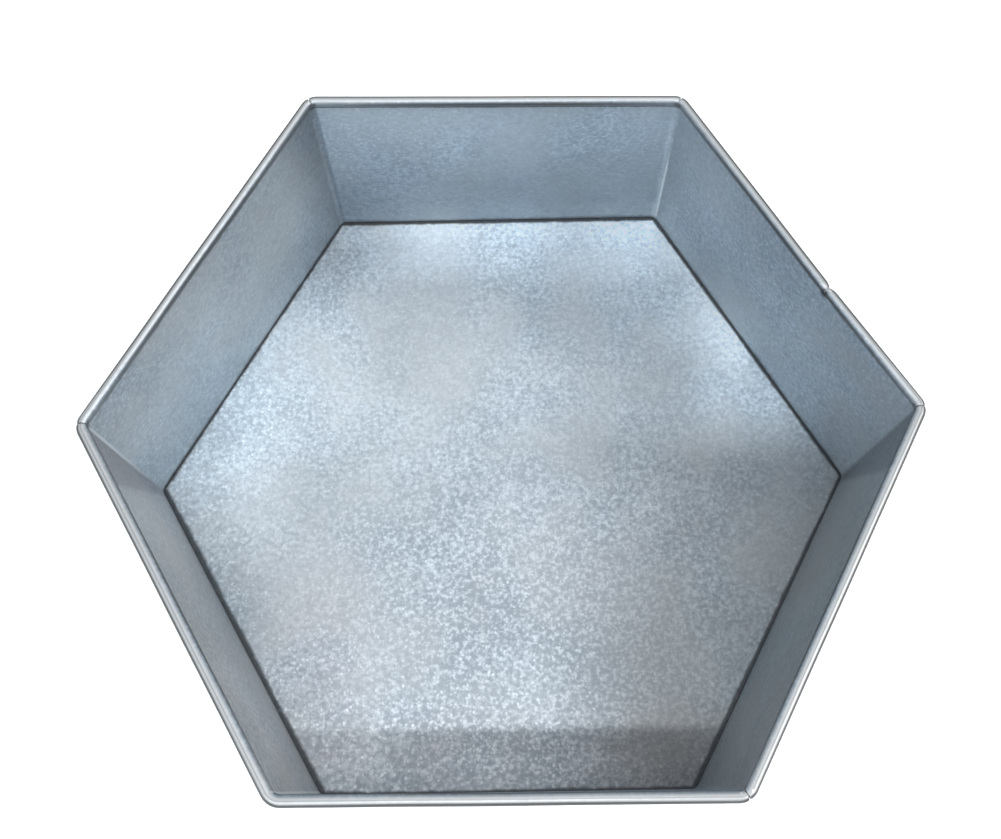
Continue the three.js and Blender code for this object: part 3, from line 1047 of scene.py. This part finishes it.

# %% [markdown]
# ### The base sheet
# Broad pools of painted light and shade lie over the base. Each of these pools is a box with soft sides that
# multiplies the zinc's colour. Painted shade runs along the foot of the walls, so the base needs to know how
# far each point is from the nearest wall. In a hexagon that is the half-width less the longest of three
# projections.

# %% Painted pools of light and shade on the base
# Each of the painted pools of light and shade: its middle, its half-width and half-depth in millimetres, how
# soft its sides are each way from 0 to 1, and its tint, below 1 for shade and above 1 for light.
PAINTED_LIGHT_POOLS = [
    ((100.0, -62.0), (92.0, 90.0), (0.62, 0.3), (0.59, 0.58, 0.57)),
    ((62.0, -90.0), (56.0, 60.0), (0.7, 0.8), (0.83, 0.82, 0.81)),
    ((8.0, -28.0), (72.0, 78.0), (0.8, 0.9), (0.84, 0.84, 0.85)),
    ((40.0, 24.0), (44.0, 36.0), (0.9, 0.9), (0.82, 0.83, 0.84)),
    ((26.0, 58.0), (46.0, 20.0), (0.9, 0.9), (0.82, 0.84, 0.86)),
    ((30.0, 108.0), (84.0, 37.0), (0.4, 0.6), (1.65, 1.67, 1.69)),
    ((0.0, 112.0), (84.0, 23.0), (0.3, 0.5), (1.32, 1.32, 1.32)),
    ((98.0, 66.0), (34.0, 40.0), (0.7, 0.6), (1.3, 1.3, 1.3)),
    ((76.0, 82.0), (56.0, 46.0), (0.9, 0.8), (1.33, 1.33, 1.33)),
    ((72.0, -76.0), (30.0, 34.0), (0.9, 0.9), (1.28, 1.28, 1.28)),
    ((94.0, 56.0), (38.0, 58.0), (0.8, 0.6), (1.5, 1.5, 1.5)),
    ((-98.0, 18.0), (36.0, 54.0), (0.9, 0.9), (1.5, 1.5, 1.5)),
    ((-76.0, 50.0), (44.0, 48.0), (0.8, 0.8), (1.36, 1.36, 1.36)),
    ((-60.0, -94.0), (28.0, 20.0), (0.7, 0.7), (1.3, 1.28, 1.26)),
    ((36.0, -98.0), (46.0, 18.0), (0.8, 0.4), (0.8, 0.8, 0.8)),
    ((0.0, -100.0), (90.0, 30.0), (0.4, 0.7), (0.97, 0.91, 0.89)),
    ((-62.0, -54.0), (30.0, 52.0), (0.9, 0.9), (1.0, 0.96, 0.96)),
    ((8.0, -86.0), (60.0, 6.0), (0.5, 0.6), (0.87, 0.87, 0.87)),
]
LIVELY = ((8.0, -56.0), (92.0, 80.0), (0.9, 0.8))  # where painted glints and painted darker grains stand out most, given like the pools
LIVELY_GLINT = 0.17
LIVELY_SHADE = 0.2
GRAIN_SHADE = (0.2, 0.23, 0.26)


def inside_box(tree, middle, half, softness):
    """1 inside an upright box, falling to 0 at its sides."""
    at = (middle[0] * MM, middle[1] * MM, 0.0)
    size = (1 / (half[0] * MM), 1 / (half[1] * MM), 0.0)
    away = vector_maths(tree, "MULTIPLY", vector_maths(tree, "SUBTRACT", object_place(tree), at), size)
    away = vector_maths(tree, "ABSOLUTE", away)
    across, along = [
        soft_step(tree, one_axis(tree, away, axis), 1 - soft, 1.0, 1.0, 0.0)
        for axis, soft in zip("XY", softness)
    ]
    return times(tree, across, along)


def add_painted_pool(tree, color, middle, half, softness, tint):
    """Multiplies the colour by a tint inside a box with soft sides."""
    return blend_colors(tree, inside_box(tree, middle, half, softness), color, (*tint, 1), how="MULTIPLY")


def distance_to_wall(tree):
    """How far a point is from the nearest wall's inner face, in metres."""
    spot = object_place(tree)
    longest = None
    for number in range(SIDES // 2):
        facing = facing_vector(SIXTH * (number + 0.5))
        reach = maths(tree, "ABSOLUTE", dot(tree, spot, facing))
        longest = reach if longest is None else maths(tree, "MAXIMUM", longest, reach)
    return maths(tree, "ABSOLUTE", less(tree, APOTHEM * MM, longest))


print("pools on the base:", len(PAINTED_LIGHT_POOLS))

# %% Base material
def make_base_steel():
    material, tree, shader, color, grains, clouds = start_zinc(
        "base_steel", light=(0.50, 0.57, 0.63), dark=(0.27, 0.32, 0.365), warm=(0.40, 0.43, 0.455),
        grain=0.00105, tilt=0.15, contrast=0.95, sparkle=0.1)
    # painted glints and painted darker grains near the front, where the front lamp's reflection falls
    lively = inside_box(tree, *LIVELY)
    bright = times(tree, soft_step(tree, grains["Tone"], 0.5, 0.8), lively)
    deep = times(tree, soft_step(tree, grains["Tone"], 0.2, 0.5, 1.0, 0.0), lively)
    color = lay_over(tree, color, bright, LIVELY_GLINT, PAINTED_GLINT)
    color = lay_over(tree, color, deep, LIVELY_SHADE, GRAIN_SHADE)
    # painted pools of light and shade
    for painted_pool in PAINTED_LIGHT_POOLS:
        color = add_painted_pool(tree, color, *painted_pool)
    # painted shade along the foot of the walls, wider along the front left wall
    front_left_wall = facing_vector(SIXTH * (LEFT + 0.5))
    to_front_left = dot(tree, object_place(tree), front_left_wall)
    reach = soft_step(tree, to_front_left, 88 * MM, 98 * MM, 1.5 * MM, 2.1 * MM)
    edge = use_group(tree, fold_shade, distance=distance_to_wall(tree), reach=reach, blobs=0.9)
    worn = use_group(tree, edge_wear, sharpness=0.56)
    height = one_axis(tree, object_place(tree), "Z")
    on_hem = soft_step(tree, height, SHEET * MM * 2, FLANGE_TOP * MM, 0.0, 0.5)
    color = lay_over(tree, color, worn["Worn"], on_hem, WORN_ZINC)
    facing_up = soft_step(tree, one_axis(tree, surface_facing(tree), "Z"), 0.0, 0.5, 0.0, 0.9)
    color = lay_over(tree, color, edge["Fold Shade"], facing_up, CREVICE_SHADE)
    finish_zinc(tree, shader, color, grains, clouds, roughness=0.4)
    return material


base_steel = make_base_steel()
print("material:", base_steel.name)

# %% [markdown]
# ### The wire and the solder
# The wire shows only at the open joint, where its cut ends are a little worn. Solder is mostly tin: it
# sets in coarser grains than zinc, in small clouds, and its skin is rippled.

# %% Wire and solder materials
def make_wire_zinc():
    material, tree, shader, color, grains, clouds = start_zinc(
        "wire", light=(0.42, 0.45, 0.48), dark=(0.25, 0.27, 0.29), warm=(0.33, 0.33, 0.33), grain=0.0007)
    worn = use_group(tree, edge_wear, sharpness=0.58)
    color = lay_over(tree, color, worn["Worn"], 0.4, (0.6, 0.6, 0.6))
    finish_zinc(tree, shader, color, grains, clouds, roughness=0.45, streak_depth=0.3)
    return material


def make_solder_tin():
    material, tree, shader, color, grains, clouds = start_zinc(
        "solder", light=(0.62, 0.64, 0.65), dark=(0.4, 0.42, 0.43), warm=(0.45, 0.43, 0.4),
        grain=0.0022, tilt=0.3, cloud_size=0.008, contrast=0.6, sparkle=0.2)
    finish_zinc(tree, shader, color, grains, clouds, roughness=0.36, streak_depth=0.4)
    return material


# %% Dress the four pieces
for thing, node, slot, material in (
    (wall, "wall_band", "wall_steel", wall_steel),
    (base, "base_plate", "base_steel", base_steel),
    (wire, "rim_wire", "wire", make_wire_zinc()),
    (solder, "side_seam_solder", "solder", make_solder_tin()),
):
    thing.data.materials.clear()
    thing.data.materials.append(material)
    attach(thing, "root")
    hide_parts(node)
    print(f"{thing.name} stands for {node}")

# %% [markdown]
# ## Floor, light and camera
# The tin stands on a plain pale floor. One small lamp close above the front edge makes the short crisp
# shadow behind the front wall, and hangs just where the two walls beside it throw none. Broad lamps at
# the right and the front left model the walls. The world gives the rest: it is dark at the horizon and
# bright overhead, like a room with a large ceiling light, but the camera sees one plain pale backdrop.

# %% The studio floor
FLOOR_HALF = 3.0
FLOOR_DROP = 0.0002  # just below the tin, so that the two never touch
PALE = (0.92, 0.92, 0.92, 1)
floor_mesh = bpy.data.meshes.new("studio_floor")
corners = [(x * FLOOR_HALF, y * FLOOR_HALF, 0) for x, y in ((-1, -1), (1, -1), (1, 1), (-1, 1))]
floor_mesh.from_pydata(corners, [], [(0, 1, 2, 3)])
floor = bpy.data.objects.new("studio_floor", floor_mesh)
scene.collection.objects.link(floor)
floor.location.z = -FLOOR_DROP
pale = bpy.data.materials.new("studio_floor")
pale.use_nodes = True
pale.node_tree.nodes["Principled BSDF"].inputs["Base Color"].default_value = PALE
pale.node_tree.nodes["Principled BSDF"].inputs["Roughness"].default_value = 0.9
floor_mesh.materials.append(pale)
print(f"floor: {2 * FLOOR_HALF:.0f} m across")

# %% The world
BACKDROP = 1.1       # the plain pale backdrop, as the camera sees it
HORIZON_GLOW = 0.12
CEILING_GLOW = 1.42
CEILING_STARTS = 0.75
world = bpy.data.worlds.new("studio")
scene.world = world
world.use_nodes = True
sky = world.node_tree
rise = one_axis(sky, add_node(sky, "ShaderNodeTexCoord").outputs["Generated"], "Z")
sky.nodes["Background"].inputs["Color"].default_value = (0.95, 0.98, 1.0, 1)
shine = soft_step(sky, rise, 0.0, CEILING_STARTS, HORIZON_GLOW, CEILING_GLOW)
seen = add_node(sky, "ShaderNodeLightPath").outputs["Is Camera Ray"]
plain = add_node(sky, "ShaderNodeMix", {0: seen, 2: shine, 3: BACKDROP}).outputs[0]
sky.links.new(plain, sky.nodes["Background"].inputs["Strength"])
print(f"world: from {HORIZON_GLOW} at the horizon to {CEILING_GLOW} overhead")

# %% The lamps
# Each lamp's name, where it hangs, its width in metres, its power in watts and its colour.
LAMPS = [
    ("front_lamp", (0.0, -0.209, 0.493), 0.016, 0.68, (1, 1, 1)),
    ("right_lamp", (0.92, -0.25, 0.95), 0.6, 9, (1.0, 0.94, 0.88)),
    ("left_lamp", (-0.5, -0.87, 0.95), 0.7, 5, (1, 1, 1)),
]


def soft_light(name, place_at, size, power, color):
    """A round lamp aimed at the middle of the tin; its size sets how soft its shadows are."""
    light = bpy.data.lights.new(name, "AREA")
    light.shape = "DISK"
    light.size = size
    light.energy = power
    light.color = color
    thing = bpy.data.objects.new(name, light)
    thing.location = place_at
    thing.rotation_euler = (-Vector(place_at)).to_track_quat("-Z", "Y").to_euler()
    scene.collection.objects.link(thing)
    print(f"{name}: {power} W")


for lamp in LAMPS:
    soft_light(*lamp)

# %% The camera
CAMERA_AT = (-0.8 * MM, -100.2 * MM, 365.7 * MM)
LOOKS_DOWN = 71.37   # degrees below level
TURNED = 0.23        # degrees to the right of straight ahead
TILTED = -0.85       # degrees of roll
LENS = 39.3          # millimetres, on a film 36 wide
camera = bpy.data.objects.new("camera", bpy.data.cameras.new("camera"))
camera.data.lens = LENS
camera.data.sensor_width = 36
camera.location = CAMERA_AT
level = Matrix.Rotation(-math.radians(TURNED), 4, "Z")
level = level @ Matrix.Rotation(math.radians(90 - LOOKS_DOWN), 4, "X")
camera.rotation_euler = (level @ Matrix.Rotation(math.radians(TILTED), 4, "Z")).to_euler()
scene.collection.objects.link(camera)
scene.camera = camera
scene.view_settings.view_transform = "Standard"
print(f"camera: {LENS} mm lens, looking {LOOKS_DOWN} degrees down")
